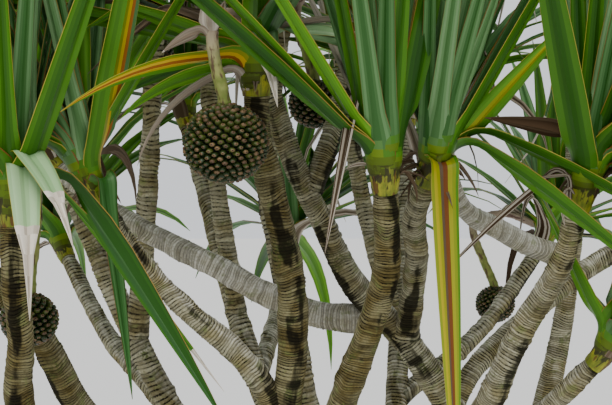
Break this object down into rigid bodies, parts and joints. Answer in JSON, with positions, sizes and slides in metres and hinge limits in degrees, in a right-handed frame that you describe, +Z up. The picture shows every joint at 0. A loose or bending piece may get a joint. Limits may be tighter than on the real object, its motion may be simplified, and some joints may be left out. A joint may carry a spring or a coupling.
{
  "type": "pandanus tree",
  "caption": "Screw pine tree with a flared trunk, ring-scarred forking boughs, heads of sword-shaped leaves and hanging knobbly fruits.",
  "frame": {"origin": "middle of the flat cut under the trunk, at ground level", "axes": "+Z up along the plant, -Y towards the side that the picture shows, +X to the right of that view"},
  "size_m": [3.4605, 3.6108, 3.7031],
  "materials": {
    "bark": "rough, ring-scarred",
    "leaves": "satin leaf",
    "fruit": "rough, knobbly"
  },
  "bodies": {
    "root": {"bough_back": "bark", "bough_back_high": "bark", "bough_back_left": "bark", "bough_back_left_high": "bark", "bough_back_left_low": "bark", "bough_back_low": "bark", "bough_back_right": "bark", "bough_back_right_high": "bark", "bough_back_right_low": "bark", "bough_centre": "bark", "bough_centre_inner": "bark", "bough_front": "bark", "bough_front_left": "bark", "bough_front_mid": "bark", "bough_front_right": "bark", "bough_left": "bark", "bough_left_upright": "bark", "bough_level": "bark", "bough_right": "bark", "bough_right_inner": "bark", "bough_right_low": "bark", "bough_right_outer": "bark", "bough_right_tall": "bark", "bough_top": "bark", "fruit_back_high": "fruit", "fruit_back_left": "fruit", "fruit_back_right_low": "fruit", "fruit_centre_inner": "fruit", "fruit_front": "fruit", "fruit_left_upright": "fruit", "fruit_right_outer": "fruit", "head_back": "leaves", "head_back_high": "leaves", "head_back_left": "leaves", "head_back_left_high": "leaves", "head_back_left_low": "leaves", "head_back_low": "leaves", "head_back_right": "leaves", "head_back_right_high": "leaves", "head_back_right_low": "leaves", "head_centre": "leaves", "head_centre_inner": "leaves", "head_front": "leaves", "head_front_left": "leaves", "head_front_mid": "leaves", "head_front_right": "leaves", "head_left": "leaves", "head_left_upright": "leaves", "head_level": "leaves", "head_right": "leaves", "head_right_inner": "leaves", "head_right_low": "leaves", "head_right_outer": "leaves", "head_right_tall": "leaves", "head_top": "leaves", "trunk": "bark"}
  },
  "joints": []
}
